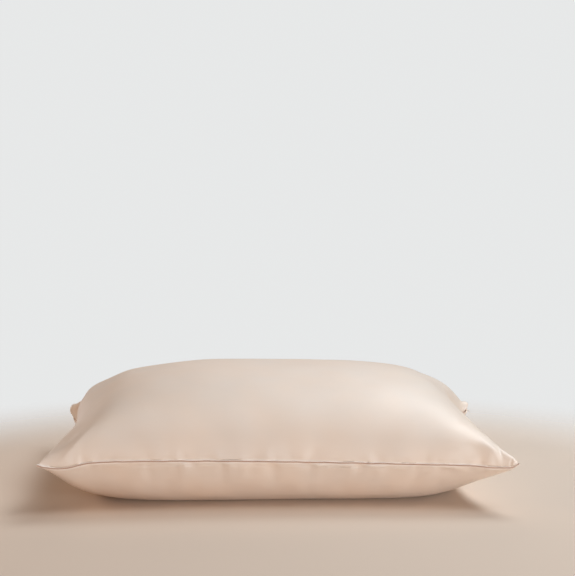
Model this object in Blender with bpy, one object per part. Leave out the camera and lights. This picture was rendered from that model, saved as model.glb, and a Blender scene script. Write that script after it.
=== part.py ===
"""A standard silk pillowcase, filled by its pillow and lying on its back panel.

One closed solid in metres, +Z up: the long sides run along X and the near long side faces -Y.
The face panel crowns upwards and the back panel bellies down to a flat rest at z = 0. The two
panels meet in a narrow sewn channel that runs round all four sides, and the four tips stand
out as ears where the fullness can't reach into the corners.
"""

import math

import bmesh
import bpy
from mathutils import Vector

# Overall sizes, tip to tip. The seam's height and the crown's rise are those of the middle.
LENGTH = 0.700
WIDTH = 0.460
SEAM_HEIGHT = 0.0715
CROWN_RISE = 0.1115

# The seam: the gap between the two rolled panel edges, and how deep the stitches pull it in.
# Over the last stretch before a tip the channel runs out to nothing.
EDGE_GAP = 0.003
CHANNEL_DEPTH = 0.0025
CHANNEL_TAPER = 0.020

# How far each side is drawn in between its tips, and how square that curve is.
DRAW_IN = {"left": 0.0475, "right": 0.061, "near": 0.0235, "far": 0.023}
LONG_DRAW_POWER = 2
SHORT_DRAW_POWER = 3.5

# How far each tip is lifted above the seam's own height, by the sign of x and the sign of y.
TIP_LIFT = {(-1, -1): 0.006, (1, -1): -0.0035, (-1, 1): 0.0045, (1, 1): 0.004}
# Beside its tip the seam sags, by the sign of x. Between the tips it sways up and down once.
TIP_SAG = {-1: 0.008, 1: 0.002}
SAG_FROM_TIP = 0.034
SAG_SPREAD = 0.031
SEAM_SWAY = -0.0034

# The short ends bulge out above and below the drawn-in seam.
END_BULGE = {"face": 0.015, "back": 0.009}
END_BULGE_POWER = 6

# How each panel fills out. round: how flat the middle is. edge: how softly it rises from the
# seam, where a small number stands up steeply. tips: what is added to edge near the corners.
FULLNESS = {
    "face": {
        "round_x": 3.8, "edge_x": 0.30, "tips_x": 0.26,
        "round_y": 2.1, "edge_y": 0.45, "tips_y": -0.15,
    },
    "back": {
        "round_x": 4.4, "edge_x": 0.35, "tips_x": 0.06,
        "round_y": 2.2, "edge_y": 0.66, "tips_y": 0.28,
    },
}
TIPS_X_POWER = 2
TIPS_Y_POWER = 4
# The pillow's weight presses the belly flat: what is over 1 here lies on the surface.
BELLY_PRESS = 1.4
CONTACT_SOFTNESS = 1.4

# Main folds, as soft ridges (height over 0) and troughs (height under 0) along a line in plan.
FOLD_COLUMNS = ("panel", "x0", "y0", "x1", "y1", "half_width", "height")
FOLDS = (
    # The near left ear: a ridge runs in from its tip, with a long trough behind it.
    ("face", -0.326, -0.224, -0.258, -0.186, 0.011, 0.0040),
    ("face", -0.308, -0.206, -0.272, -0.090, 0.015, -0.0050),
    # The left shoulder lies lower than the right one.
    ("face", -0.215, -0.080, -0.185, 0.090, 0.075, -0.0050),
    # The near right ear: a hollow beside the seam, a ridge over it and a pinch next to the tip.
    ("face", 0.262, -0.212, 0.296, -0.220, 0.010, -0.0045),
    ("face", 0.240, -0.180, 0.312, -0.219, 0.009, 0.0030),
    ("face", 0.312, -0.196, 0.326, -0.224, 0.006, -0.0030),
    # The far ears are creased where they leave the crown.
    ("face", -0.316, 0.150, -0.286, 0.206, 0.008, -0.0050),
    ("face", 0.306, 0.140, 0.276, 0.206, 0.009, -0.0050),
    # Soft pleats hang below the seam, uneven along each side.
    ("back", -0.216, -0.214, -0.206, -0.180, 0.014, 0.0030),
    ("back", -0.165, -0.210, -0.160, -0.182, 0.012, -0.0025),
    ("back", -0.108, -0.208, -0.112, -0.180, 0.016, 0.0030),
    ("back", 0.030, -0.206, 0.026, -0.182, 0.018, 0.0025),
    ("back", 0.097, -0.206, 0.092, -0.184, 0.012, -0.0025),
    ("back", 0.176, -0.208, 0.172, -0.184, 0.016, 0.0030),
    ("back", 0.240, -0.214, 0.226, -0.184, 0.014, -0.0025),
    ("back", -0.140, 0.206, -0.134, 0.180, 0.015, 0.0030),
    ("back", 0.060, 0.206, 0.064, 0.180, 0.017, 0.0030),
    ("back", 0.200, 0.206, 0.190, 0.182, 0.014, -0.0025),
    ("back", -0.306, 0.060, -0.280, 0.050, 0.015, 0.0025),
    ("back", 0.292, -0.050, 0.268, -0.044, 0.015, 0.0025),
)

# Grid cells along and across each panel, and how much they crowd towards the seam.
CELLS_X = 56
CELLS_Y = 38
CROWDING_X = 1.25
CROWDING_Y = 1.0

SILK_COLOUR = (0.78, 0.62, 0.50, 1.0)
SILK_ROUGHNESS = 0.38


def clear_scene():
    for old in list(bpy.data.objects):
        bpy.data.objects.remove(old, do_unlink=True)


def silk():
    """Peach silk satin."""
    material = bpy.data.materials.new("peach_silk")
    material.use_nodes = True
    shader = material.node_tree.nodes["Principled BSDF"]
    shader.inputs["Base Color"].default_value = SILK_COLOUR
    shader.inputs["Roughness"].default_value = SILK_ROUGHNESS
    shader.inputs["Metallic"].default_value = 0.0
    return material


def stations(cells, crowding):
    """Places from -1 to 1, close together near both ends, where the panel rises from the seam."""
    places = []
    for step in range(cells + 1):
        across = 2 * step / cells - 1
        inset = (1 - math.cos(math.pi / 2 * (1 - abs(across)))) ** crowding
        places.append(math.copysign(1 - inset, across))
    return places


def plan_point(u, v):
    """Where a panel place lies in plan, its sides drawn in between the tips."""
    draw_x = DRAW_IN["right"] if u > 0 else DRAW_IN["left"]
    draw_y = DRAW_IN["far"] if v > 0 else DRAW_IN["near"]
    x = u * (LENGTH / 2 - draw_x * (1 - abs(v) ** SHORT_DRAW_POWER))
    y = v * (WIDTH / 2 - draw_y * (1 - abs(u) ** LONG_DRAW_POWER))
    return x, y


def seam_level(u, v):
    """Height of the seam, carried on across the panel between the four tips."""
    lift = 0.0
    for (sign_x, sign_y), tip in TIP_LIFT.items():
        lift += tip * (1 + sign_x * u) / 2 * (1 + sign_y * v) / 2
    from_tip = LENGTH / 2 * (1 - abs(u))
    sag = TIP_SAG[1 if u > 0 else -1] * math.exp(-(((from_tip - SAG_FROM_TIP) / SAG_SPREAD) ** 2))
    sway = SEAM_SWAY * u * (1 - u * u)
    return SEAM_HEIGHT + lift - sag + sway


def swell(panel, u, v):
    """How full a panel is at a place: 0 on the seam, 1 in its middle."""
    form = FULLNESS[panel]
    rise_x = form["edge_x"] + form["tips_x"] * abs(v) ** TIPS_X_POWER
    rise_y = form["edge_y"] + form["tips_y"] * abs(u) ** TIPS_Y_POWER
    along = (1 - abs(u) ** form["round_x"]) ** rise_x
    across = (1 - abs(v) ** form["round_y"]) ** rise_y
    return along * across


def pressed(fullness):
    """The belly's share of its full depth, once the flat surface under it stops it."""
    left = 1 - min(1.0, BELLY_PRESS * fullness)
    return 1 - left**CONTACT_SOFTNESS


def end_bulge(panel, full, u, v):
    """How far a place is pushed out along x: most at half height, nothing near the tips."""
    half_height = 4 * full * (1 - full)
    reach = END_BULGE[panel] * half_height * (1 - v * v) * abs(u) ** END_BULGE_POWER
    return math.copysign(reach, u)


def panel_point(panel, u, v):
    """A place on one panel, before the folds are laid in."""
    x, y = plan_point(u, v)
    level = seam_level(u, v)
    if panel == "face":
        full = swell(panel, u, v)
        z = level + EDGE_GAP / 2 + CROWN_RISE * full
    else:
        full = pressed(swell(panel, u, v))
        z = (level - EDGE_GAP / 2) * (1 - full)
    return Vector((x + end_bulge(panel, full, u, v), y, z))


def fold_height(panel, place):
    """Sum of the folds at a place: each is a rounded ridge or trough round its own line."""
    total = 0.0
    for row in FOLDS:
        fold = dict(zip(FOLD_COLUMNS, row))
        if fold["panel"] != panel:
            continue
        start = Vector((fold["x0"], fold["y0"]))
        run = Vector((fold["x1"], fold["y1"])) - start
        offset = place.xy - start
        share = min(1.0, max(0.0, offset.dot(run) / run.length_squared))
        away = (offset - run * share).length / fold["half_width"]
        total += fold["height"] * math.exp(-away * away)
    return total


def panel_grid(mesh, panel, columns, rows):
    """One panel's points, row by row from the near side to the far side."""
    return [[mesh.verts.new(panel_point(panel, u, v)) for u in columns] for v in rows]


def skin_panel(mesh, grid, faces_up):
    for low, high in zip(grid, grid[1:]):
        for k in range(len(low) - 1):
            corners = (low[k], low[k + 1], high[k + 1], high[k])
            mesh.faces.new(corners if faces_up else corners[::-1])


def rim(grid):
    """A panel's edge points, once round, starting at the near left tip."""
    near, far = grid[0], grid[-1]
    right = [row[-1] for row in grid[1:-1]]
    left = [row[0] for row in grid[1:-1]]
    return near + right + far[::-1] + left[::-1]


def channel_point(upper, lower, before, after):
    """The bottom of the seam's channel, pulled in between the two panel edges."""
    middle = (upper.co + lower.co) / 2
    along = (after.co - before.co).xy.normalized()
    inward = Vector((-along.y, along.x, 0.0))
    from_tip = math.hypot(LENGTH / 2 - abs(middle.x), WIDTH / 2 - abs(middle.y))
    return middle + inward * CHANNEL_DEPTH * min(1.0, from_tip / CHANNEL_TAPER)


def sew(mesh, face_rim, back_rim):
    """Join the two panels through the channel."""
    count = len(face_rim)
    channel = []
    for k in range(count):
        before, after = face_rim[k - 1], face_rim[(k + 1) % count]
        channel.append(mesh.verts.new(channel_point(face_rim[k], back_rim[k], before, after)))
    for k in range(count):
        following = (k + 1) % count
        mesh.faces.new((face_rim[k], channel[k], channel[following], face_rim[following]))
        mesh.faces.new((channel[k], back_rim[k], back_rim[following], channel[following]))


def lay_folds(mesh, grid, panel):
    """Push the panel's points out or in along their normals, clear of the seam and the rest."""
    mesh.normal_update()
    moves = []
    for row in grid[1:-1]:
        for point in row[1:-1]:
            if point.co.z > 0:
                moves.append((point, point.normal * fold_height(panel, point.co)))
    for point, move in moves:
        point.co += move
        point.co.z = max(0.0, point.co.z)


def pillowcase():
    columns = stations(CELLS_X, CROWDING_X)
    rows = stations(CELLS_Y, CROWDING_Y)
    mesh = bmesh.new()
    face = panel_grid(mesh, "face", columns, rows)
    back = panel_grid(mesh, "back", columns, rows)
    skin_panel(mesh, face, faces_up=True)
    skin_panel(mesh, back, faces_up=False)
    sew(mesh, rim(face), rim(back))
    lay_folds(mesh, face, "face")
    lay_folds(mesh, back, "back")
    bmesh.ops.triangulate(mesh, faces=mesh.faces)
    data = bpy.data.meshes.new("pillowcase")
    mesh.to_mesh(data)
    mesh.free()
    data.shade_smooth()
    data.materials.append(silk())
    case = bpy.data.objects.new("pillowcase", data)
    bpy.context.scene.collection.objects.link(case)
    return case


clear_scene()
pillowcase()
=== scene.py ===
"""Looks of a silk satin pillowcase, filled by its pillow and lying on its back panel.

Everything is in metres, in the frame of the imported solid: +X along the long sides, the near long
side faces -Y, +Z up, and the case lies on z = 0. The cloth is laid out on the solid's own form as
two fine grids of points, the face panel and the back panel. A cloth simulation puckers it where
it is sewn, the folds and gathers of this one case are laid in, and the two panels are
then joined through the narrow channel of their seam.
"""

import math

import bpy
import numpy as np
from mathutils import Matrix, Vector


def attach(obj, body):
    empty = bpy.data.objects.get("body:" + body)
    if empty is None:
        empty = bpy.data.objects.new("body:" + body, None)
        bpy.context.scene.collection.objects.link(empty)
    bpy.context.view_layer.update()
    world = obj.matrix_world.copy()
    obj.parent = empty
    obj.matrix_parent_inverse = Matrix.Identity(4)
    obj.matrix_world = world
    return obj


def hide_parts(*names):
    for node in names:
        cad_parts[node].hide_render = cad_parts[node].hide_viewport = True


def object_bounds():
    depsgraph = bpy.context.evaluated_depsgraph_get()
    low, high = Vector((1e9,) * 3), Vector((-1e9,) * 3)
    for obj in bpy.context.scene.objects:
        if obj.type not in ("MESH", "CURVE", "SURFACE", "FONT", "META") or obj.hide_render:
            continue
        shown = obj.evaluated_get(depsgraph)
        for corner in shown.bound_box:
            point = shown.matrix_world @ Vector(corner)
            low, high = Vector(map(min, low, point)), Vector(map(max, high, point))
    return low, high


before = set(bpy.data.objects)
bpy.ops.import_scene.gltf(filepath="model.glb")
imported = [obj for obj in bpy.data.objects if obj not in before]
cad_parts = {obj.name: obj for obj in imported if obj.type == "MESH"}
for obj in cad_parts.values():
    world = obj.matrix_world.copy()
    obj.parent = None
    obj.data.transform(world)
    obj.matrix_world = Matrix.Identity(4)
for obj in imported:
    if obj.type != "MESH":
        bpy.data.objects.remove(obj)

CAD_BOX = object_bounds()
LENGTH, WIDTH = (CAD_BOX[1] - CAD_BOX[0])[:2]

# So small that it only keeps a length of nothing from dividing, and a middle from having no side.
TINY = 1e-12

# ---- Camera: its place, its lens on a 36 mm wide sensor, its dip below level and its turn.

CAMERA_PLACE = (-0.0745, -2.282, 0.538)
LENS_MM = 90.9
SENSOR_MM = 36.0
CAMERA_DIP = math.radians(5.80)
CAMERA_TURN = math.radians(2.39)

# ---- The form of the filled case, the same as the solid's. Where a value belongs to one tip, it is
# found by the tip's sides: -1 is left or near, 1 is right or far. DRAW_IN is how far each side is
# drawn in at its middle, and a higher power keeps the ears at its ends narrower.

SEAM_HEIGHT = 0.0715
CROWN_RISE = 0.1115
EDGE_GAP = 0.003
DRAW_IN = {"left": 0.0475, "right": 0.061, "near": 0.0235, "far": 0.023}
LONG_DRAW_POWER = 2
SHORT_DRAW_POWER = {(-1, -1): 3.0, (1, -1): 2.75, (-1, 1): 3.5, (1, 1): 3.5}
TIP_LIFT = {(-1, -1): 0.006, (1, -1): -0.0035, (-1, 1): 0.0045, (1, 1): 0.004}
TIP_SAG = {-1: 0.008, 1: 0.002}
SAG_FROM_TIP = 0.034
SAG_SPREAD = 0.031
SEAM_SWAY = -0.0034
END_BULGE = {"face": 0.015, "back": 0.009}
END_BULGE_POWER = 6
# A panel's section along x and along y: round is the power that squares it up. edge nears 0 where
# it stands up steeply from the seam and 1 where it slopes, and tips is what the tips add to edge.
FULLNESS = {
    "face": {"round_x": 3.8, "edge_x": 0.30, "tips_x": 0.26,
             "round_y": 2.1, "edge_y": 0.45, "tips_y": -0.15},
    "back": {"round_x": 4.4, "edge_x": 0.35, "tips_x": 0.06,
             "round_y": 2.2, "edge_y": 0.66, "tips_y": 0.28},
}
# The press flattens the back panel's middle, and the softness rounds the edge of that flat spot.
BELLY_PRESS = 1.4
CONTACT_SOFTNESS = 1.4

# ---- The sewn edge: each panel ends in a narrow level lip, whose rolled edge turns down as far as
# ROLL_END and meets the channel. The channel gets less deep within CHANNEL_TAPER of a tip.

LIP_WIDTH = {"face": 0.0018, "back": 0.0010}
ROLL_RADIUS = 0.0005
ROLL_STEPS = 4
ROLL_END = math.radians(-40)
CHANNEL_DEPTH = 0.0028
CHANNEL_TAPER = 0.012
# The power by which painted shade darkens the channel towards its bottom, and how dark that painted
# shade is where the painted highlight that goes on round the rolled edge ends.
CHANNEL_SHADE_POWER = 2
RIM_HIGHLIGHT_UNTIL = 0.5
# How wide a painted highlight runs pale beside the seam, and how much wider it is painted at some of
# the tips.
RIM_HIGHLIGHT_WIDTH = 0.0019
TIP_HIGHLIGHT_COLUMNS = ("sign_x", "sign_y", "extra", "reach")
TIP_HIGHLIGHTS = (
    # A painted highlight on the near left tip.
    (-1, -1, 0.0045, 0.015),
    # Painted light: the far left ear is painted paler, in place of light on its shaded side.
    (-1, 1, 0.0200, 0.034),
    (1, 1, 0.0020, 0.020),
)
# The tips are rounded off by this much in plan, and the cloth beside them less and less.
TIP_ROUNDING = {"near": 0.0030, "far": 0.0048}
TIP_ROUNDING_REACH = 0.0062

# ---- The grids: cells along and across a panel, and how much they crowd towards the seam. They
# are spaced by the run over the cloth, which is measured at so many places along its middle.

FINE_CELLS = (232, 164)
FINE_CROWDING = 0.88
SETTLE_CELLS = (132, 92)
SETTLE_CROWDING = 0.80
RUN_SAMPLES = 4000
# How many of its widths a softening reaches to each side.
SOFTEN_WIDTHS = 3

# Which way each panel's normals turn out of its grid, and the sides that it is sewn along.
OUTWARD = {"face": 1.0, "back": -1.0}
SIDES = ("near", "far", "left", "right")

# ---- Settling: silk is cut a little larger than its pillow, so it puckers where it is sewn. Of the
# result, only what is finer than BROAD_CELLS is used, and of that a share, which starts
# SETTLE_START in from the seam and fades out over SETTLE_REACH. Points under REST_LEVEL are held,
# no other may move further than MOST_MOVE, and a shake of SETTLE_CHANCE lets the puckers begin.

# The share by which the cloth is larger.
SPARE_CLOTH = 0.012
SETTLE_PRESSURE = 0.5
SETTLE_BENDING = 1.5
SETTLE_FRAMES = 20
SETTLE_QUALITY = 5
SETTLE_CHANCE = 0.00006
MOST_MOVE = 0.022
BROAD_CELLS = 5
SETTLE_SHARE = {"face": 0.30, "back": 0.45}
SETTLE_REACH = {"face": 0.045, "back": 0.050}
SETTLE_START = 0.006
REST_LEVEL = 0.0005
SEED = 11

# ---- Folds: soft ridges (height over 0) and troughs (height under 0) along a line in plan, from
# its root to where it has faded out. bow bends the line sideways at its middle. The half width
# goes from width0 to width1, and skew makes the side to the left of the line that many times as
# wide, the other as many times as narrow. crest is 2 for a soft one and nears 1 for a crisp one.
# peak is the share of the line where it is highest.

FOLD_COLUMNS = (
    "panel", "x0", "y0", "x1", "y1", "bow", "width0", "width1", "skew", "crest", "peak", "height"
)
FOLDS = (
    # The left shoulder lies lower than the right one.
    ("face", -0.215, -0.170, -0.190, 0.300, 0.000, 0.070, 0.070, 1.0, 2.0, 0.5, -0.0055),
    # Near left ear: a crisp spine runs out of its tip and softens up the shoulder.
    ("face", -0.3400, -0.2290, -0.260, -0.178, -0.012, 0.003, 0.013, 1.3, 1.2, 0.40, 0.0032),
    ("face", -0.3330, -0.2230, -0.272, -0.160, 0.000, 0.005, 0.016, 1.0, 2.0, 0.40, -0.0022),
    ("face", -0.318, -0.2000, -0.270, -0.060, 0.006, 0.014, 0.026, 1.0, 2.0, 0.40, -0.0022),
    ("face", -0.320, -0.180, -0.300, -0.010, 0.000, 0.016, 0.022, 1.0, 2.0, 0.50, -0.0045),
    # Near right ear: a hollow beside the seam, a soft ridge over it and a pinch by the tip.
    ("face", 0.2600, -0.2125, 0.310, -0.2225, 0.000, 0.005, 0.005, 1.0, 2.0, 0.55, -0.0020),
    ("face", 0.2860, -0.2010, 0.326, -0.2265, 0.000, 0.008, 0.004, 1.0, 2.0, 0.60, 0.0024),
    ("face", 0.3170, -0.2060, 0.325, -0.2265, 0.000, 0.0030, 0.0024, 1.0, 2.0, 0.60, -0.0018),
    ("face", 0.3490, -0.2290, 0.322, -0.209, 0.000, 0.005, 0.009, 1.0, 2.0, 0.35, 0.0034),
    ("face", 0.3350, -0.2256, 0.3380, -0.2268, 0.000, 0.0024, 0.0024, 1.0, 2.0, 0.50, -0.0016),
    # Far ears: the tip is a small puffed knob, at the end of a soft ridge of the crown.
    ("face", -0.3490, 0.2295, -0.324, 0.209, 0.000, 0.006, 0.008, 1.0, 2.0, 0.32, 0.0066),
    ("back", -0.3490, 0.2295, -0.322, 0.202, 0.000, 0.007, 0.010, 1.0, 2.0, 0.40, 0.0022),
    ("face", -0.345, 0.225, -0.235, 0.130, 0.000, 0.010, 0.024, 1.0, 2.0, 0.45, 0.0020),
    ("face", 0.3490, 0.2295, 0.332, 0.216, 0.000, 0.006, 0.007, 1.0, 2.0, 0.35, 0.0055),
    ("back", 0.3490, 0.2295, 0.330, 0.213, 0.000, 0.006, 0.007, 1.0, 2.0, 0.40, 0.0045),
    ("face", 0.348, 0.228, 0.215, 0.115, 0.000, 0.010, 0.026, 1.0, 2.0, 0.44, 0.0064),
    # The left end stands full; the right one falls in, so the far right ear's ridge shows past it.
    ("face", -0.310, 0.220, -0.276, -0.020, 0.000, 0.024, 0.032, 1.0, 2.0, 0.50, 0.0045),
    ("face", 0.300, -0.190, 0.270, 0.170, 0.000, 0.026, 0.028, 1.0, 2.0, 0.55, -0.0110),
    # The belly is slack at the near right corner.
    ("back", 0.338, -0.218, 0.225, -0.125, 0.000, 0.020, 0.036, 1.0, 2.0, 0.50, -0.0048),
    # Soft pleats hang below the seam, uneven along each side.
    ("back", -0.216, -0.212, -0.206, -0.160, 0.000, 0.010, 0.018, 1.0, 2.0, 0.30, 0.0011),
    ("back", -0.165, -0.208, -0.160, -0.162, 0.000, 0.008, 0.015, 1.0, 2.0, 0.30, -0.0009),
    ("back", -0.108, -0.206, -0.112, -0.160, 0.000, 0.009, 0.018, 1.0, 2.0, 0.30, 0.0011),
    ("back", 0.030, -0.204, 0.026, -0.162, 0.000, 0.010, 0.020, 1.0, 2.0, 0.30, 0.0010),
    ("back", 0.097, -0.204, 0.092, -0.164, 0.000, 0.008, 0.015, 1.0, 2.0, 0.30, -0.0009),
    ("back", 0.176, -0.206, 0.172, -0.162, 0.000, 0.010, 0.019, 1.0, 2.0, 0.30, 0.0011),
    ("back", 0.240, -0.210, 0.226, -0.164, 0.000, 0.008, 0.016, 1.0, 2.0, 0.30, -0.0009),
    ("back", -0.140, 0.206, -0.134, 0.160, 0.000, 0.012, 0.018, 1.0, 2.0, 0.30, 0.0016),
    ("back", 0.060, 0.206, 0.064, 0.160, 0.000, 0.012, 0.020, 1.0, 2.0, 0.30, 0.0016),
    ("back", 0.200, 0.206, 0.190, 0.162, 0.000, 0.010, 0.017, 1.0, 2.0, 0.30, -0.0014),
    ("back", -0.306, 0.060, -0.260, 0.050, 0.000, 0.012, 0.018, 1.0, 2.0, 0.30, 0.0015),
    ("back", 0.292, -0.050, 0.248, -0.044, 0.000, 0.012, 0.018, 1.0, 2.0, 0.30, 0.0015),
    # Drag lines on the left shoulder.
    ("face", -0.302, -0.138, -0.250, -0.072, 0.003, 0.0024, 0.0044, 1.0, 2.0, 0.4, 0.00055),
    ("face", -0.292, -0.146, -0.232, -0.086, 0.004, 0.0026, 0.0050, 1.0, 2.0, 0.4, 0.00070),
    ("face", -0.300, -0.112, -0.264, -0.064, 0.002, 0.0022, 0.0036, 1.0, 2.0, 0.5, 0.00045),
)

# The filling's own unevenness: soft swells of these lengths, all over.
LUMP_COUNT = 26
LUMP_LENGTH = (0.060, 0.130)
LUMP_HEIGHT = 0.00005

# ---- Ears: a tip stands up by rise, and beside it the seam hangs lower by droop. Both change over
# near, and the droop fades out again around far, measured from the tip in plan.

EAR_COLUMNS = ("sign_x", "sign_y", "rise", "droop", "near", "far")
EARS = (
    (-1, 1, 0.0015, 0.0225, 0.017, 0.085),
    (1, 1, 0.000, 0.0140, 0.013, 0.080),
    (1, -1, 0.0050, 0.0016, 0.009, 0.040),
)
# How far in from the seam each panel follows the droop.
DROOP_INWARD = {"face": 0.010, "back": 0.030}

# ---- Sewing: bars of thread that cross the channel, and the one loose end at the far right ear.
# STITCH_DEPTH is the share of the channel's depth at which they cross, and STITCH_UNEVEN the share
# of their spacing by which they stray.

STITCH_SPACING = 0.0027
STITCH_UNEVEN = 0.1
STITCH_DEPTH = 0.40
STITCH_SLANT = 0.0005
THREAD_RADIUS = 0.00016
THREAD_SIDES = 5
# No thread runs in this direction, so the sides of every thread can be turned square to it.
THREAD_GUIDE = (0.31, 0.93, 0.19)
LOOSE_END_RADIUS = 0.00035
LOOSE_END_POINTS = 13
LOOSE_END_PATH = (
    (0.0, 0.0, 0.0),
    (0.0006, -0.0010, -0.0040),
    (0.0026, -0.0014, -0.0074),
    (0.0062, -0.0008, -0.0112),
)

# ---- Gathers where the panels are sewn: each starts at a side's seam, runs in over the cloth and
# leans aside. along is x on the long sides and y on the short ones.

GATHER_COLUMNS = ("panel", "side", "along", "half_width", "reach", "lean", "height")
GATHERS = (
    # Face panel, near side.
    ("face", "near", -0.108, 0.0035, 0.007, 0.2, -0.0009),
    ("face", "near", 0.019, 0.0060, 0.014, -0.2, -0.0014),
    ("face", "near", 0.044, 0.0050, 0.017, 0.3, -0.0016),
    ("face", "near", 0.168, 0.0050, 0.012, -0.3, -0.0012),
    ("face", "near", 0.205, 0.0060, 0.014, -0.4, -0.0012),
    ("face", "near", -0.245, 0.0050, 0.010, 0.3, -0.0008),
    ("face", "near", -0.020, 0.0070, 0.020, 0.2, 0.0008),
    ("face", "near", 0.095, 0.0080, 0.022, -0.2, 0.0008),
    # Back panel, near side: the lens-shaped pulls just under the seam, and the soft pleats.
    ("back", "near", 0.130, 0.0050, 0.009, 0.5, 0.0018),
    ("back", "near", -0.104, 0.0030, 0.009, 0.0, 0.0024),
    ("back", "near", -0.072, 0.0060, 0.008, 0.0, 0.0021),
    ("back", "near", -0.235, 0.0050, 0.010, 0.4, 0.0011),
    ("back", "near", 0.247, 0.0120, 0.007, 0.6, 0.0027),
    ("back", "near", -0.190, 0.0070, 0.034, 0.1, -0.0022),
    ("back", "near", -0.138, 0.0060, 0.030, -0.1, 0.0020),
    ("back", "near", -0.085, 0.0070, 0.036, 0.1, -0.0023),
    ("back", "near", -0.052, 0.0060, 0.028, 0.0, 0.0019),
    ("back", "near", -0.010, 0.0080, 0.034, 0.1, -0.0022),
    ("back", "near", 0.058, 0.0070, 0.032, -0.1, 0.0020),
    ("back", "near", 0.117, 0.0060, 0.030, -0.2, -0.0020),
    ("back", "near", 0.148, 0.0060, 0.026, -0.1, 0.0019),
    ("back", "near", 0.203, 0.0070, 0.034, -0.2, -0.0022),
)
GATHER_START = 0.0018
# Folds and gathers start this share of the lip's width in from the seam.
LIP_BARE = 0.5

# More gathers, small and by chance, all round both panels except near the tips. Each has at least
# the first and at most the second share of the height.
CHANCE_SPACING = (0.005, 0.015)
CHANCE_HALF_WIDTH = (0.0024, 0.0058)
CHANCE_REACH = (0.005, 0.017)
CHANCE_LEAN = 0.35
CHANCE_HEIGHT = {"face": 0.0014, "back": 0.0017}
CHANCE_SHARE = (0.3, 1.0)
CHANCE_FROM_TIP = 0.036

# The seam's own line wavers, in ripples of these lengths and heights. Each swells and dies down
# again every few of its lengths, and keeps this share of its height on the average.
RIPPLES = ((0.0062, 0.00004), (0.0105, 0.00006), (0.0190, 0.00013), (0.0430, 0.00034))
RIPPLE_SHARE = 0.6
RIPPLE_SWELLS_OVER = 5.3
RIPPLE_REACH = 0.006
RIPPLE_TAPER = 0.020


# ---- Measures that the shapes share.


def bell(distance, reach):
    """1 at no distance, fading out smoothly around its reach."""
    return np.exp(-((distance / reach) ** 2))


def hump(height, share):
    """A bow of this height at its middle, and of none where share is 0 or 1."""
    return height * 4 * share * (1 - share)


def from_tip(x, y, sign_x, sign_y):
    """How far places in plan are from one tip of the solid."""
    return np.hypot(LENGTH / 2 - sign_x * x, WIDTH / 2 - sign_y * y)


def from_nearest_tip(x, y):
    """How far places in plan are from whichever tip is nearest."""
    return from_tip(np.abs(x), np.abs(y), 1, 1)


# ---- Cloth that is held as a grid of points.


def seam_level(u, v):
    """Height of the seam, carried on across the panel between the four tips."""
    lift = sum(
        tip * (1 + sign_x * u) / 2 * (1 + sign_y * v) / 2
        for (sign_x, sign_y), tip in TIP_LIFT.items()
    )
    from_end = LENGTH / 2 * (1 - np.abs(u))
    depth = np.where(u > 0, TIP_SAG[1], TIP_SAG[-1])
    sag = depth * bell(from_end - SAG_FROM_TIP, SAG_SPREAD)
    return SEAM_HEIGHT + lift - sag + SEAM_SWAY * u * (1 - u * u)


def ear_lift(panel, x, y, inset):
    """How much higher or lower the ears make the seam and the cloth beside it."""
    total = np.zeros(x.shape)
    for row in EARS:
        ear = dict(zip(EAR_COLUMNS, row))
        away = from_tip(x, y, ear["sign_x"], ear["sign_y"])
        at_tip = bell(away, ear["near"])
        inward = (inset / DROOP_INWARD[panel]) ** 2
        hang = (1 - at_tip) * np.exp(-((away / ear["far"]) ** 2) - inward)
        total += ear["rise"] * at_tip - ear["droop"] * hang
    return total


def swell(panel, u, v):
    """How full a panel is at a place: 0 on the lip along the seam, 1 in its middle."""
    form = FULLNESS[panel]
    u = np.minimum(1, np.abs(u) / (1 - 2 * LIP_WIDTH[panel] / LENGTH))
    v = np.minimum(1, np.abs(v) / (1 - 2 * LIP_WIDTH[panel] / WIDTH))
    along = (1 - u ** form["round_x"]) ** (form["edge_x"] + form["tips_x"] * v * v)
    across = (1 - v ** form["round_y"]) ** (form["edge_y"] + form["tips_y"] * u**4)
    return along * across


def lay_out(panel, columns, rows):
    """A panel's points on the solid's form, as an array of rows, columns and x, y, z."""
    u, v = np.meshgrid(columns, rows)
    draw_x = np.where(u > 0, DRAW_IN["right"], DRAW_IN["left"])
    draw_y = np.where(v > 0, DRAW_IN["far"], DRAW_IN["near"])
    power = np.zeros(u.shape)
    for (sign_x, sign_y), value in SHORT_DRAW_POWER.items():
        power += value * (np.sign(u + TINY) == sign_x) * (np.sign(v + TINY) == sign_y)
    x = u * (LENGTH / 2 - draw_x * (1 - np.abs(v) ** power))
    y = v * (WIDTH / 2 - draw_y * (1 - np.abs(u) ** LONG_DRAW_POWER))
    rounding = np.where(v > 0, TIP_ROUNDING["far"], TIP_ROUNDING["near"]) / math.sqrt(2)
    rounding = rounding * bell(from_nearest_tip(x, y), TIP_ROUNDING_REACH)
    x = x - np.copysign(rounding, u)
    y = y - np.copysign(rounding, v)
    level = seam_level(u, v)
    full = swell(panel, u, v)
    if panel == "face":
        z = level + EDGE_GAP / 2 + CROWN_RISE * full
    else:
        left = 1 - np.minimum(1, BELLY_PRESS * full)
        full = 1 - left**CONTACT_SOFTNESS
        z = (level - EDGE_GAP / 2) * (1 - full)
    bulge = hump(END_BULGE[panel], full) * (1 - v * v)
    x = x + np.copysign(bulge * np.abs(u) ** END_BULGE_POWER, u)
    inset = np.minimum(LENGTH / 2 * (1 - np.abs(u)), WIDTH / 2 * (1 - np.abs(v)))
    z = np.maximum(z + ear_lift(panel, x, y, inset), 0)
    return np.stack((x, y, z), axis=-1)


def middle_run(axis, places):
    """The longer of both panels' runs over the cloth along its middle, at places from -1 to 1."""
    runs = []
    for panel in OUTWARD:
        at = (places, np.zeros(1)) if axis == 0 else (np.zeros(1), places)
        line = lay_out(panel, *at).reshape(-1, 3)
        runs.append(np.linalg.norm(np.diff(line, axis=0), axis=1))
    return np.concatenate(((0,), np.cumsum(np.maximum(*runs))))


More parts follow.
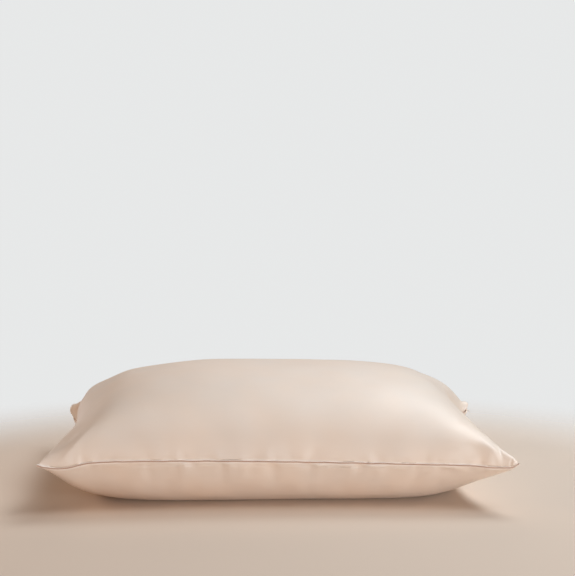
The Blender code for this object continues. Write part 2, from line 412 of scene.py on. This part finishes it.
def stations(axis, cells, crowding):
    """Places from -1 to 1 across a panel, closer together near both ends."""
    ends = np.linspace(-1, 1, RUN_SAMPLES + 1)
    dense = np.copysign(1 - (1 - np.abs(ends)) ** 2, ends)
    run = middle_run(axis, dense)
    across = np.linspace(-1, 1, cells + 1)
    inset = (1 - np.cos(np.pi / 2 * (1 - np.abs(across)))) ** crowding
    return np.interp((1 + np.copysign(1 - inset, across)) / 2 * run[-1], run, dense)


def outward(points, panel):
    """Unit normals of a panel's grid, out of the pillow."""
    normal = np.cross(np.gradient(points, axis=1), np.gradient(points, axis=0)) * OUTWARD[panel]
    return normal / np.maximum(np.linalg.norm(normal, axis=-1, keepdims=True), TINY)


def run_from_sides(points):
    """How far each point is from each side, measured over the cloth."""
    across = np.linalg.norm(np.diff(points, axis=0), axis=-1)
    along = np.linalg.norm(np.diff(points, axis=1), axis=-1)
    near = np.concatenate((np.zeros_like(across[:1]), np.cumsum(across, axis=0)))
    left = np.concatenate((np.zeros_like(along[:, :1]), np.cumsum(along, axis=1)), axis=1)
    return {"near": near, "far": near[-1] - near, "left": left, "right": left[:, -1:] - left}


def nearest_run(runs):
    """How far each point is from its nearest side, measured over the cloth."""
    return np.minimum.reduce([runs[side] for side in SIDES])


def place_along(points, side):
    """x on the long sides and y on the short ones."""
    return points[..., 0] if side in ("near", "far") else points[..., 1]


def read_between(values, at):
    """Reads a grid between its rows and columns, on a smooth curve through its points."""
    for axis, places in enumerate(at):
        last = values.shape[axis] - 1
        whole = np.clip(np.floor(places).astype(int), 0, last - 1)
        t = (places - whole).reshape([-1 if k == axis else 1 for k in range(values.ndim)])
        before, start, end, after = (
            np.take(values, np.clip(whole + shift, 0, last), axis=axis) for shift in (-1, 0, 1, 2)
        )
        cubic = 3 * (start - end) + after - before
        square = 2 * before - 5 * start + 4 * end - after
        values = start + 0.5 * t * (end - before + t * (square + t * cubic))
    return values


def soften(values, cells):
    """Averages a grid over that many cells each way. Past its rim it goes on, turned over."""
    reach = SOFTEN_WIDTHS * cells
    weights = np.exp(-0.5 * (np.arange(-reach, reach + 1) / cells) ** 2)
    weights /= weights.sum()
    for axis in (0, 1):
        margin = [(reach, reach) if k == axis else (0, 0) for k in range(values.ndim)]
        wide = np.pad(values, margin, mode="reflect", reflect_type="odd")
        size = values.shape[axis]
        values = sum(w * np.take(wide, range(k, k + size), axis=axis) for k, w in enumerate(weights))
    return values


def grid_quads(number):
    """The four-cornered faces of a grid of point numbers."""
    quads = np.stack((number[:-1, :-1], number[:-1, 1:], number[1:, 1:], number[1:, :-1]), axis=-1)
    return quads.reshape(-1, 4)


def rim_of(grid):
    """A grid's edge, once round, starting at the near left tip."""
    return np.concatenate((grid[0, :-1], grid[:-1, -1], grid[-1, :0:-1], grid[:0:-1, 0]))


def add_object(name, data):
    made = bpy.data.objects.new(name, data)
    bpy.context.scene.collection.objects.link(made)
    return made


# ---- Settling.


def settling_cloth(start):
    """Both panels as one coarse mesh with a shared rim, and which of its points don't move."""
    shape = start["face"].shape[:2]
    number = {
        panel: np.arange(shape[0] * shape[1]).reshape(shape) + k * shape[0] * shape[1]
        for k, panel in enumerate(OUTWARD)
    }
    rim = np.ones(shape, bool)
    rim[1:-1, 1:-1] = False
    number["back"][rim] = number["face"][rim]
    points = np.concatenate([start[panel].reshape(-1, 3) for panel in OUTWARD])
    held = points[:, 2] < REST_LEVEL
    held[number["face"][rim]] = True
    shake = np.random.default_rng(SEED).normal(0, SETTLE_CHANCE, points.shape)
    points = points + shake * ~held[:, None]
    quads = np.concatenate((grid_quads(number["face"]), grid_quads(number["back"])[:, ::-1]))
    data = bpy.data.meshes.new("settling_cloth")
    data.from_pydata(points.tolist(), [], quads.tolist())
    return add_object("settling_cloth", data), number, held


def settle(cloth, held):
    """Runs the simulation and gives the cloth's points at its end."""
    group = cloth.vertex_groups.new(name="held")
    group.add(np.flatnonzero(held).tolist(), 1.0, "REPLACE")
    simulation = cloth.modifiers.new("settle", "CLOTH")
    settings = simulation.settings
    settings.use_pressure = True
    settings.uniform_pressure_force = SETTLE_PRESSURE
    settings.effector_weights.gravity = 0
    settings.vertex_group_mass = group.name
    settings.shrink_min = -SPARE_CLOTH
    settings.bending_stiffness = SETTLE_BENDING
    settings.quality = SETTLE_QUALITY
    simulation.collision_settings.use_collision = False
    simulation.point_cache.frame_start = 1
    simulation.point_cache.frame_end = SETTLE_FRAMES
    for step in range(1, SETTLE_FRAMES + 1):
        bpy.context.scene.frame_set(step)
    settled = cloth.evaluated_get(bpy.context.evaluated_depsgraph_get()).data
    points = np.zeros(3 * len(settled.vertices), np.float32)
    settled.vertices.foreach_get("co", points)
    bpy.context.scene.frame_set(1)
    bpy.data.objects.remove(cloth, do_unlink=True)
    return points.reshape(-1, 3).astype(float)


def settled_creases(columns, rows):
    """What the simulation adds to each fine grid: its creases near the seam, not its swelling."""
    coarse = [stations(axis, cells, SETTLE_CROWDING) for axis, cells in enumerate(SETTLE_CELLS)]
    start = {panel: lay_out(panel, *coarse) for panel in OUTWARD}
    cloth, number, held = settling_cloth(start)
    ended = settle(cloth, held)
    both = zip((rows, columns), coarse[::-1])
    at = [np.interp(fine, few, np.arange(len(few))) for fine, few in both]
    creases = {}
    for panel in OUTWARD:
        move = ended[number[panel]] - start[panel]
        length = np.linalg.norm(move, axis=-1, keepdims=True)
        move *= np.minimum(1, MOST_MOVE / np.maximum(length, TINY))
        move -= soften(move, BROAD_CELLS)
        run = nearest_run(run_from_sides(start[panel]))
        share = SETTLE_SHARE[panel] * np.exp(-run / SETTLE_REACH[panel])
        move *= (share * (1 - bell(run, SETTLE_START)))[..., None]
        creases[panel] = read_between(move, at)
    return creases


# ---- Folds, gathers and ripples laid in.


def fold_height(panel, points):
    """Sum of the folds at a panel's points."""
    total = np.zeros(points.shape[:2])
    for row in FOLDS:
        fold = dict(zip(FOLD_COLUMNS, row))
        if fold["panel"] != panel:
            continue
        start = np.array((fold["x0"], fold["y0"]))
        run = np.array((fold["x1"], fold["y1"])) - start
        length = np.linalg.norm(run)
        run = run / length
        offset = points[..., :2] - start
        ahead = offset @ run
        share = np.clip(ahead / length, 0, 1)
        aside = offset @ np.array((-run[1], run[0])) - hump(fold["bow"], share)
        width = fold["width0"] + (fold["width1"] - fold["width0"]) * share
        width = width * np.where(aside > 0, fold["skew"], 1 / fold["skew"])
        past_end = (ahead - share * length) / fold["width0"]
        rise = np.sin(np.pi / 2 * np.minimum(1, share / fold["peak"]))
        fade = np.cos(np.pi / 2 * np.clip((share - fold["peak"]) / (1 - fold["peak"]), 0, 1))
        section = np.exp(-(np.abs(aside / width) ** fold["crest"]) - past_end**2)
        total += fold["height"] * (rise * fade) ** 2 * section
    return total


def lump_height(points, chance):
    """Soft swells that the filling makes."""
    total = np.zeros(points.shape[:2])
    for _ in range(LUMP_COUNT):
        length = chance.uniform(*LUMP_LENGTH)
        turn = chance.uniform(0, 2 * math.pi)
        phase = chance.uniform(0, 2 * math.pi)
        way = np.array((math.cos(turn), math.sin(turn)))
        total += LUMP_HEIGHT * np.sin(2 * math.pi / length * (points[..., :2] @ way) + phase)
    return total


def chance_gathers(chance):
    """Rows like those of GATHERS, unevenly spaced along every side of both panels."""
    rows = []
    for panel in OUTWARD:
        for side in SIDES:
            half = (LENGTH if side in ("near", "far") else WIDTH) / 2 - CHANCE_FROM_TIP
            along = -half
            while along < half:
                along += chance.uniform(*CHANCE_SPACING)
                height = CHANCE_HEIGHT[panel] * chance.uniform(*CHANCE_SHARE)
                height *= chance.choice((-1, 1))
                half_width = chance.uniform(*CHANCE_HALF_WIDTH)
                reach = chance.uniform(*CHANCE_REACH)
                lean = chance.uniform(-1, 1) * CHANCE_LEAN
                rows.append((panel, side, along, half_width, reach, lean, height))
    return rows


def gather_height(panel, points, runs, rows):
    """Sum of the gathers at a panel's points: nothing on the seam, then up and away."""
    total = np.zeros(points.shape[:2])
    for row in rows:
        gather = dict(zip(GATHER_COLUMNS, row))
        if gather["panel"] != panel:
            continue
        run = runs[gather["side"]]
        centre = gather["along"] + gather["lean"] * run
        aside = (place_along(points, gather["side"]) - centre) / gather["half_width"]
        start = 1 - np.exp(-run / GATHER_START)
        total += gather["height"] * start * np.exp(-aside**2 - (run / gather["reach"]) ** 2)
    return total


def ripple(along, phases):
    """One uneven wavering line."""
    total = 0.0
    for (length, height), (phase, swell_phase) in zip(RIPPLES, phases):
        turn = 2 * math.pi * along / length
        swelling = (1 - RIPPLE_SHARE) * np.sin(turn / RIPPLE_SWELLS_OVER + swell_phase)
        total = total + height * np.sin(turn + phase) * (RIPPLE_SHARE + swelling)
    return total


def seam_ripples(points, runs, phases):
    """How the seam's waver lifts a panel's points: most on the seam, nothing at the tips."""
    total = np.zeros(points.shape[:2])
    for side in SIDES:
        line = ripple(place_along(points, side), phases[side])
        total += line * bell(runs[side], RIPPLE_REACH)
    tapered = from_nearest_tip(points[..., 0], points[..., 1]) / RIPPLE_TAPER
    return total * np.minimum(1, tapered)


def dress(grids):
    """Lays the folds, gathers and ripples into both panels."""
    chance = np.random.default_rng(SEED)
    rows = GATHERS + tuple(chance_gathers(chance))
    phases = {side: chance.uniform(0, 2 * math.pi, (len(RIPPLES), 2)) for side in SIDES}
    for panel, points in grids.items():
        runs = run_from_sides(points)
        height = fold_height(panel, points) + gather_height(panel, points, runs, rows)
        height += lump_height(points, chance)
        height *= np.clip(nearest_run(runs) / LIP_WIDTH[panel] - LIP_BARE, 0, 1)
        # Nothing is laid in where the back panel is pressed flat.
        height *= points[..., 2] > 0
        lift = seam_ripples(points, runs, phases)
        points += outward(points, panel) * height[..., None]
        points[..., 2] = np.maximum(points[..., 2] + lift, 0)


# ---- The closed mesh.


def edge_rows(face_rim, back_rim):
    """Rows of points, each once round the case, that close it between the two panels' rims.

    They go round the face panel's rolled edge, down into the seam's channel and round the back
    panel's rolled edge.
    """
    middle = (face_rim + back_rim) / 2
    half_gap = (face_rim - back_rim)[:, 2:] / 2
    along = np.roll(middle, -1, axis=0) - np.roll(middle, 1, axis=0)
    along[:, 2] = 0
    along /= np.linalg.norm(along, axis=1, keepdims=True)
    out = np.stack((along[:, 1], -along[:, 0], np.zeros(len(along))), axis=1)
    up = np.array((0, 0, 1))
    away = from_nearest_tip(middle[:, 0], middle[:, 1])
    depth = CHANNEL_DEPTH * np.minimum(1, away / CHANNEL_TAPER)[:, None]
    roll = []
    for angle in np.linspace(math.pi / 2, ROLL_END, ROLL_STEPS + 1)[1:]:
        height = half_gap - ROLL_RADIUS * (1 - math.sin(angle))
        roll.append((ROLL_RADIUS * math.cos(angle), height))
    rows = [middle + out * reach + up * height for reach, height in roll]
    rows.append(middle - out * depth)
    rows += [middle + out * reach - up * height for reach, height in roll[::-1]]
    return rows


def store_values(data, name, kind, parts):
    """Stores a value at every point of a mesh for its material to read."""
    made = data.attributes.new(name, kind, "POINT")
    field = "vector" if kind == "FLOAT_VECTOR" else "value"
    made.data.foreach_set(field, np.concatenate(parts).ravel().astype(np.float32))


def cloth_place(grid, panel):
    """Where each point of a panel lies on the flat cloth, in metres from its middle."""
    runs = run_from_sides(grid)
    across = (runs["left"] - runs["right"]) / 2
    along = (runs["near"] - runs["far"]) / 2
    return np.stack((across, along, np.full(across.shape, OUTWARD[panel])), axis=-1)


def rim_highlight_mask(grid):
    """1 where a panel has its painted highlight beside its seam, 0 further in; some tips have it
    wider.
    """
    wide = np.full(grid.shape[:2], RIM_HIGHLIGHT_WIDTH)
    for row in TIP_HIGHLIGHTS:
        tip = dict(zip(TIP_HIGHLIGHT_COLUMNS, row))
        away = from_tip(grid[..., 0], grid[..., 1], tip["sign_x"], tip["sign_y"])
        wide += tip["extra"] * bell(away, tip["reach"])
    return bell(nearest_run(run_from_sides(grid)), wide)


def store_cloth_values(data, grids, edge):
    """Stores each point's place on the cloth, its painted shade by depth in the channel and its
    painted highlight.
    """
    middle = len(edge) // 2
    around = len(edge[0])
    places = {panel: cloth_place(grids[panel], panel) for panel in OUTWARD}
    on_panels = [places[panel].reshape(-1, 3) for panel in OUTWARD]
    on_edge = [rim_of(places["face" if k <= middle else "back"]) for k in range(len(edge))]
    store_values(data, "cloth_place", "FLOAT_VECTOR", on_panels + on_edge)
    # Painted shade: the colour darkens down the channel to its bottom.
    channel_shades = [(1 - abs(k - middle) / (middle + 1)) ** CHANNEL_SHADE_POWER for k in range(len(edge))]
    outside = [np.zeros(len(place)) for place in on_panels]
    inside = [np.full(around, depth) for depth in channel_shades]
    store_values(data, "channel_shade", "FLOAT", outside + inside)
    # Painted highlight beside the seam, and on the rolled edge until the channel's painted shade
    # takes over.
    rims = [rim_highlight_mask(grids[panel]).ravel() for panel in OUTWARD]
    roll_highlight = [np.full(around, max(0, 1 - depth / RIM_HIGHLIGHT_UNTIL)) for depth in channel_shades]
    store_values(data, "rim_highlight", "FLOAT", rims + roll_highlight)


def closed_case(grids):
    """One closed mesh of both panels and the edge that joins them, and that edge's rows."""
    shape = grids["face"].shape[:2]
    count = shape[0] * shape[1]
    number = {
        panel: np.arange(count).reshape(shape) + k * count for k, panel in enumerate(OUTWARD)
    }
    edge = edge_rows(rim_of(grids["face"]), rim_of(grids["back"]))
    around = len(edge[0])
    rings = [rim_of(number["face"])]
    rings += [2 * count + k * around + np.arange(around) for k in range(len(edge))]
    rings.append(rim_of(number["back"]))
    faces = [grid_quads(number["face"]), grid_quads(number["back"])[:, ::-1]]
    for upper, lower in zip(rings, rings[1:]):
        faces.append(np.stack((upper, lower, np.roll(lower, -1), np.roll(upper, -1)), axis=-1))
    points = np.concatenate([grids[panel].reshape(-1, 3) for panel in OUTWARD] + edge)
    data = bpy.data.meshes.new("pillowcase_silk")
    data.from_pydata(points.tolist(), [], np.concatenate(faces).tolist())
    data.shade_smooth()
    store_cloth_values(data, grids, edge)
    return data, edge


# ---- Sewing thread.


def tube(path, radius):
    """Points and faces of a closed thread along a path."""
    path = np.asarray(path, float)
    ahead = np.gradient(path, axis=0)
    ahead /= np.linalg.norm(ahead, axis=1, keepdims=True)
    aside = np.cross(ahead, THREAD_GUIDE)
    aside /= np.linalg.norm(aside, axis=1, keepdims=True)
    over = np.cross(ahead, aside)
    turns = 2 * math.pi * np.arange(THREAD_SIDES) / THREAD_SIDES
    points = [path + radius * (math.cos(turn) * aside + math.sin(turn) * over) for turn in turns]
    points = np.stack(points, axis=1).reshape(-1, 3)
    number = np.arange(len(points)).reshape(-1, THREAD_SIDES)
    faces = []
    for low, high in zip(number, number[1:]):
        sides = np.stack((low, np.roll(low, -1), np.roll(high, -1), high), axis=-1)
        faces += sides.tolist()
    faces += [number[0, ::-1].tolist(), number[-1].tolist()]
    return points, faces


def joined(name, tubes):
    """One mesh of many threads."""
    points, faces, count = [], [], 0
    for more_points, more_faces in tubes:
        points.append(more_points)
        faces += [tuple(k + count for k in face) for face in more_faces]
        count += len(more_points)
    data = bpy.data.meshes.new(name)
    data.from_pydata(np.concatenate(points).tolist(), [], faces)
    data.shade_smooth()
    return data


def stitches(edge):
    """Thread that crosses the channel, bar after bar, once round the case."""
    middle = len(edge) // 2
    upper = edge[middle - 1] + (edge[middle] - edge[middle - 1]) * STITCH_DEPTH
    lower = edge[middle + 1] + (edge[middle] - edge[middle + 1]) * STITCH_DEPTH
    steps = np.linalg.norm(np.roll(edge[middle], -1, axis=0) - edge[middle], axis=1)
    along = np.concatenate(((0,), np.cumsum(steps)))
    places = np.arange(STITCH_SPACING, along[-1], STITCH_SPACING)
    chance = np.random.default_rng(SEED)
    stray = chance.uniform(-STITCH_UNEVEN, STITCH_UNEVEN, len(places))
    tubes = []
    for place in places + stray * STITCH_SPACING:
        ends = []
        for row, slant in ((upper, -STITCH_SLANT), (lower, STITCH_SLANT)):
            closed = np.concatenate((row, row[:1]))
            ends.append([np.interp(place + slant, along, closed[:, k]) for k in range(3)])
        first, last = np.array(ends)
        tubes.append(tube((first, (first + last) / 2, last), THREAD_RADIUS))
    return joined("seam_stitches", tubes)


def loose_end(edge):
    """The end of the thread, hanging out of the channel at the far right ear."""
    bottom = edge[len(edge) // 2]
    far_right = np.argmax(edge[0][:, 0] + edge[0][:, 1])
    start = bottom[far_right]
    places = np.linspace(0, len(LOOSE_END_PATH) - 1, LOOSE_END_POINTS)
    path = read_between(np.array(LOOSE_END_PATH)[:, None, :], (places, np.zeros(1)))[:, 0]
    return joined("thread_end", [tube(start + path, LOOSE_END_RADIUS)])


# ---- Materials. Lengths and heights are in metres on the cloth. A drift is the share by which a
# colour changes, and a streak is 0 to 1.

SILK_COLOUR = (0.765, 0.612, 0.497, 1)
SILK_DRIFT = {"Patch Size": 0.070, "Depth Drift": 0.08, "Warmth Drift": 0.09}
SILK_FLOATS = {"Length": 0.0030, "Width": 0.00035, "Height": 0.000012}
SILK_SLUBS = {"Length": 0.060, "Width": 0.0045, "Height": 0.00006}
SLUB_STREAKS = (0.3, 0.7)
SILK_ROUGHNESS = (0.54, 0.61)
SILK_IOR = 1.65
# Painted highlight: a pale colour along the seam's rims and at some tips.
RIM_HIGHLIGHT_COLOUR = (0.93, 0.84, 0.76, 1)
RIM_HIGHLIGHT_SHARE = 0.9
# Painted shade down the seam's channel, darkest at its bottom.
CHANNEL_SHADE_COLOUR = (0.48, 0.25, 0.15, 1)

THREAD_COLOUR = (0.66, 0.47, 0.37, 1)
THREAD_DRIFT = {"Patch Size": 0.002, "Depth Drift": 0.25, "Warmth Drift": 0.05}
THREAD_PLIES = {"Length": 0.0006, "Width": 0.0002, "Height": 0.00003}
THREAD_ROUGHNESS = 0.6

DYE_PATCHES = {"Detail": 2.0, "Roughness": 0.45}
# A noise runs from 0 to 1, so this is its middle.
NOISE_MIDDLE = 0.5
# Where the patches of warmth are read, so that they aren't those of depth.
WARMTH_OFFSET = (3.1, 7.7, 1.9)
# How far a streak goes on out of the cloth.
STREAK_THICKNESS = 0.01


def node_group(name, inputs, outputs):
    """An empty shader group. Each input is its name, its kind and its value."""
    group = bpy.data.node_groups.new(name, "ShaderNodeTree")
    for label, kind, value in inputs:
        socket = group.interface.new_socket(label, in_out="INPUT", socket_type=kind)
        if value is not None:
            socket.default_value = value
    for label, kind in outputs:
        group.interface.new_socket(label, in_out="OUTPUT", socket_type=kind)
    return group, group.nodes.new("NodeGroupInput"), group.nodes.new("NodeGroupOutput")


def add_node(tree, kind, values=None, **settings):
    """A node with its settings, and its inputs filled with values or linked to sockets."""
    node = tree.nodes.new(kind)
    for name, value in settings.items():
        setattr(node, name, value)
    for name, value in (values or {}).items():
        if isinstance(value, bpy.types.NodeSocket):
            tree.links.new(value, node.inputs[name])
        else:
            node.inputs[name].default_value = value
    return node


def math_node(tree, operation, first, second):
    values = {0: first, 1: second}
    return add_node(tree, "ShaderNodeMath", values, operation=operation).outputs[0]


def vector_node(tree, operation, first, second):
    values = {0: first, 1: second}
    return add_node(tree, "ShaderNodeVectorMath", values, operation=operation).outputs[0]


def stored(tree, name, output="Fac"):
    """A value that the mesh holds at its points."""
    return add_node(tree, "ShaderNodeAttribute", attribute_name=name).outputs[output]


def blend(tree, share, first, second):
    """Two colours, mixed by the second one's share."""
    values = {"Factor": share, "A": first, "B": second}
    return add_node(tree, "ShaderNodeMix", values, data_type="RGBA").outputs["Result"]


def carried(tree, value, start, end, **settings):
    """A value carried over from the range start to the range end."""
    values = {"Value": value, "From Min": start[0], "From Max": start[1]}
    values |= {"To Min": end[0], "To Max": end[1]}
    return add_node(tree, "ShaderNodeMapRange", values, **settings).outputs["Result"]


def bumped(tree, height, **under):
    """The surface's normal with heights in metres on it, over another normal if one is given."""
    values = {"Height": height, "Strength": 1.0, "Distance": 1.0, **under}
    return add_node(tree, "ShaderNodeBump", values).outputs["Normal"]


def uneven_dye():
    """Colour that drifts a little lighter and darker, and warmer and cooler, in soft patches."""
    group, given, out = node_group(
        "uneven_dye",
        (("Color", "NodeSocketColor", (1, 1, 1, 1)), ("Place", "NodeSocketVector", None),
         ("Patch Size", "NodeSocketFloat", 0.05), ("Depth Drift", "NodeSocketFloat", 0.05),
         ("Warmth Drift", "NodeSocketFloat", 0.05)),
        (("Color", "NodeSocketColor"),),
    )
    scale = math_node(group, "DIVIDE", 1.0, given.outputs["Patch Size"])
    drifts = []
    for offset, amount in (((0, 0, 0), "Depth Drift"), (WARMTH_OFFSET, "Warmth Drift")):
        moved = vector_node(group, "ADD", given.outputs["Place"], offset)
        values = {"Vector": moved, "Scale": scale, **DYE_PATCHES}
        patches = add_node(group, "ShaderNodeTexNoise", values)
        centred = math_node(group, "SUBTRACT", patches.outputs["Fac"], NOISE_MIDDLE)
        drifts.append(math_node(group, "MULTIPLY", centred, given.outputs[amount]))
    lighter = math_node(group, "ADD", 1.0, drifts[0])
    warmer = math_node(group, "ADD", lighter, drifts[1])
    cooler = math_node(group, "SUBTRACT", lighter, drifts[1])
    tint = add_node(group, "ShaderNodeCombineXYZ", {0: warmer, 1: lighter, 2: cooler})
    dyed = vector_node(group, "MULTIPLY", given.outputs["Color"], tint.outputs[0])
    group.links.new(dyed, out.inputs["Color"])
    return group


def long_threads():
    """Threads that lie side by side: streaks, long one way and narrow the other."""
    group, given, out = node_group(
        "long_threads",
        (("Place", "NodeSocketVector", None), ("Length", "NodeSocketFloat", 0.004),
         ("Width", "NodeSocketFloat", 0.0003), ("Height", "NodeSocketFloat", 0.00001)),
        (("Streak", "NodeSocketFloat"), ("Height", "NodeSocketFloat")),
    )
    sizes = {0: given.outputs["Length"], 1: given.outputs["Width"], 2: STREAK_THICKNESS}
    size = add_node(group, "ShaderNodeCombineXYZ", sizes)
    stretched = vector_node(group, "DIVIDE", given.outputs["Place"], size.outputs[0])
    values = {"Vector": stretched, "Scale": 1.0, "Detail": 1.0}
    streaks = add_node(group, "ShaderNodeTexNoise", values).outputs["Fac"]
    height = math_node(group, "MULTIPLY", streaks, given.outputs["Height"])
    group.links.new(streaks, out.inputs["Streak"])
    group.links.new(height, out.inputs["Height"])
    return group


def placed(tree, group, values):
    """A shader group in a material, with that material's own values."""
    return add_node(tree, "ShaderNodeGroup", node_tree=group, values=values)


def new_material(name):
    """A material, its tree and the shader that paints it."""
    material = bpy.data.materials.new(name)
    material.use_nodes = True
    return material, material.node_tree, material.node_tree.nodes["Principled BSDF"]


def silk(dye, threads):
    """Peach silk satin: fine long floats, faint slubs, a soft drift in its colour, a painted
    highlight along the seam and painted shade down its channel.
    """
    material, tree, paint = new_material("peach_silk_satin")
    place = stored(tree, "cloth_place", "Vector")
    dyed = placed(tree, dye, {"Color": SILK_COLOUR, "Place": place, **SILK_DRIFT})
    # Painted highlight along the seam's rims and at some tips.
    highlighted = math_node(tree, "MULTIPLY", stored(tree, "rim_highlight"), RIM_HIGHLIGHT_SHARE)
    paler = blend(tree, highlighted, dyed.outputs["Color"], RIM_HIGHLIGHT_COLOUR)
    # Painted shade down the seam's channel.
    shade = blend(tree, stored(tree, "channel_shade"), paler, CHANNEL_SHADE_COLOUR)
    floats = placed(tree, threads, {"Place": place, **SILK_FLOATS})
    slubs = placed(tree, threads, {"Place": place, **SILK_SLUBS})
    roughness = carried(tree, slubs.outputs["Streak"], SLUB_STREAKS, SILK_ROUGHNESS)
    coarse = bumped(tree, slubs.outputs["Height"])
    fine = bumped(tree, floats.outputs["Height"], Normal=coarse)
    tree.links.new(shade, paint.inputs["Base Color"])
    tree.links.new(roughness, paint.inputs["Roughness"])
    tree.links.new(fine, paint.inputs["Normal"])
    paint.inputs["IOR"].default_value = SILK_IOR
    paint.inputs["Specular IOR Level"].default_value = 1.0
    return material


def sewing_thread(dye, threads):
    """Two-ply thread, duller than the silk."""
    material, tree, paint = new_material("peach_sewing_thread")
    place = add_node(tree, "ShaderNodeTexCoord").outputs["Object"]
    dyed = placed(tree, dye, {"Color": THREAD_COLOUR, "Place": place, **THREAD_DRIFT})
    plies = placed(tree, threads, {"Place": place, **THREAD_PLIES})
    tree.links.new(dyed.outputs["Color"], paint.inputs["Base Color"])
    tree.links.new(bumped(tree, plies.outputs["Height"]), paint.inputs["Normal"])
    paint.inputs["Roughness"].default_value = THREAD_ROUGHNESS
    return material


# ---- The pieces.


def add_piece(data, material):
    """A piece that rides on the case's one body."""
    data.materials.append(material)
    made = add_object(data.name, data)
    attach(made, "root")
    return made


def pillowcase():
    """The silk case, the stitches in its seam and the loose end of their thread."""
    columns, rows = (stations(axis, cells, FINE_CROWDING) for axis, cells in enumerate(FINE_CELLS))
    grids = {panel: lay_out(panel, columns, rows) for panel in OUTWARD}
    creases = settled_creases(columns, rows)
    for panel in OUTWARD:
        grids[panel] += creases[panel]
    dress(grids)
    dye, threads = uneven_dye(), long_threads()
    data, edge = closed_case(grids)
    case = add_piece(data, silk(dye, threads))
    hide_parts("pillowcase")
    thread = sewing_thread(dye, threads)
    add_piece(stitches(edge), thread)
    add_piece(loose_end(edge), thread)


# ---- Stage, light and camera. The lights stand round the case and face it: azimuth 0 is in front
# of it and 90 is to its right. Both angles are in degrees.

LIGHT_COLUMNS = ("name", "azimuth", "elevation", "height", "watts", "colour")
SOFT_LIGHTS = (
    ("front_low", 332, 5, 0.3, 12.5, (1.0, 0.84, 0.76)),
    ("right_front_low", 45, 6, 0.4, 38.5, (0.87, 0.94, 1.0)),
    ("right_front_high", 58, 56, 0.9, 20, (0.92, 0.95, 1.0)),
    ("right_high", 90, 58, 0.9, 10, (0.80, 0.94, 1.0)),
    ("back_right_high", 135, 58, 0.9, 30, (0.86, 0.94, 1.0)),
    ("back", 180, 30, 0.9, 8, (1.0, 0.85, 0.78)),
    ("back_left_low", 225, 10, 0.9, 13, (1.0, 0.96, 0.93)),
    ("left", 282, 28, 0.9, 13, (1.0, 0.73, 0.52)),
)
LIGHT_DISTANCE = 2.6
LIGHT_WIDTH = 1.4
LIGHT_TARGET = Vector((0, 0, 0.08))
# A little light from all round.
FILL_COLOUR = (0.90, 0.95, 1.0, 1)
FILL_STRENGTH = 0.02
BACKDROP_COLOUR = (0.80, 0.81, 0.81, 1)
FLOOR_HALF = 6.0
FLOOR_COLOUR = (0.72, 0.585, 0.48, 1)
FLOOR_ROUGHNESS = 0.6
# The floor is solid so far out from its centre, and fades out from there.
FLOOR_CENTRE = (0.0, -0.22, 0.0)
FLOOR_SOLID_TO = 0.60
FLOOR_GONE_AT = 1.05


def camera():
    """Looks at the case from low in front of it."""
    data = bpy.data.cameras.new("camera")
    data.sensor_fit = "HORIZONTAL"
    data.sensor_width = SENSOR_MM
    data.lens = LENS_MM
    made = add_object("camera", data)
    made.location = CAMERA_PLACE
    made.rotation_euler = (math.pi / 2 - CAMERA_DIP, 0, -CAMERA_TURN)
    bpy.context.scene.camera = made


def lights():
    """Broad soft lights, each turned towards the case."""
    for row in SOFT_LIGHTS:
        light = dict(zip(LIGHT_COLUMNS, row))
        turn, rise = math.radians(light["azimuth"]), math.radians(light["elevation"])
        level = math.cos(rise)
        way = Vector((math.sin(turn) * level, -math.cos(turn) * level, math.sin(rise)))
        data = bpy.data.lights.new(light["name"], "AREA")
        data.shape = "RECTANGLE"
        data.size, data.size_y = LIGHT_WIDTH, light["height"]
        data.energy = light["watts"]
        data.color = light["colour"]
        made = add_object(light["name"], data)
        made.location = way * LIGHT_DISTANCE
        made.rotation_euler = (LIGHT_TARGET - made.location).to_track_quat("-Z", "Y").to_euler()


def backdrop():
    """What the camera sees past the floor, and a little light from all round."""
    world = bpy.data.worlds.new("backdrop")
    world.use_nodes = True
    tree = world.node_tree
    fill = tree.nodes["Background"]
    fill.inputs["Color"].default_value = FILL_COLOUR
    fill.inputs["Strength"].default_value = FILL_STRENGTH
    seen = add_node(tree, "ShaderNodeBackground", {"Color": BACKDROP_COLOUR, "Strength": 1.0})
    ray = add_node(tree, "ShaderNodeLightPath")
    parts = {0: ray.outputs["Is Camera Ray"], 1: fill.outputs[0], 2: seen.outputs[0]}
    mix = add_node(tree, "ShaderNodeMixShader", parts)
    tree.links.new(mix.outputs[0], tree.nodes["World Output"].inputs["Surface"])
    bpy.context.scene.world = world


def floor():
    """A plain floor that fades out into the backdrop."""
    corners = [(x * FLOOR_HALF, y * FLOOR_HALF, 0) for x, y in ((-1, -1), (1, -1), (1, 1), (-1, 1))]
    data = bpy.data.meshes.new("floor")
    data.from_pydata(corners, [], [(0, 1, 2, 3)])
    material, tree, paint = new_material("pale_floor")
    paint.inputs["Base Color"].default_value = FLOOR_COLOUR
    paint.inputs["Roughness"].default_value = FLOOR_ROUGHNESS
    paint.inputs["Specular IOR Level"].default_value = 0.0
    ends = {0: add_node(tree, "ShaderNodeTexCoord").outputs["Object"], 1: FLOOR_CENTRE}
    away = add_node(tree, "ShaderNodeVectorMath", ends, operation="DISTANCE").outputs["Value"]
    band = (FLOOR_SOLID_TO, FLOOR_GONE_AT)
    fade = carried(tree, away, band, (1.0, 0.0), interpolation_type="SMOOTHSTEP")
    tree.links.new(fade, paint.inputs["Alpha"])
    data.materials.append(material)
    add_object("floor", data)


bpy.context.scene.view_settings.view_transform = "Standard"
camera()
lights()
backdrop()
floor()
pillowcase()
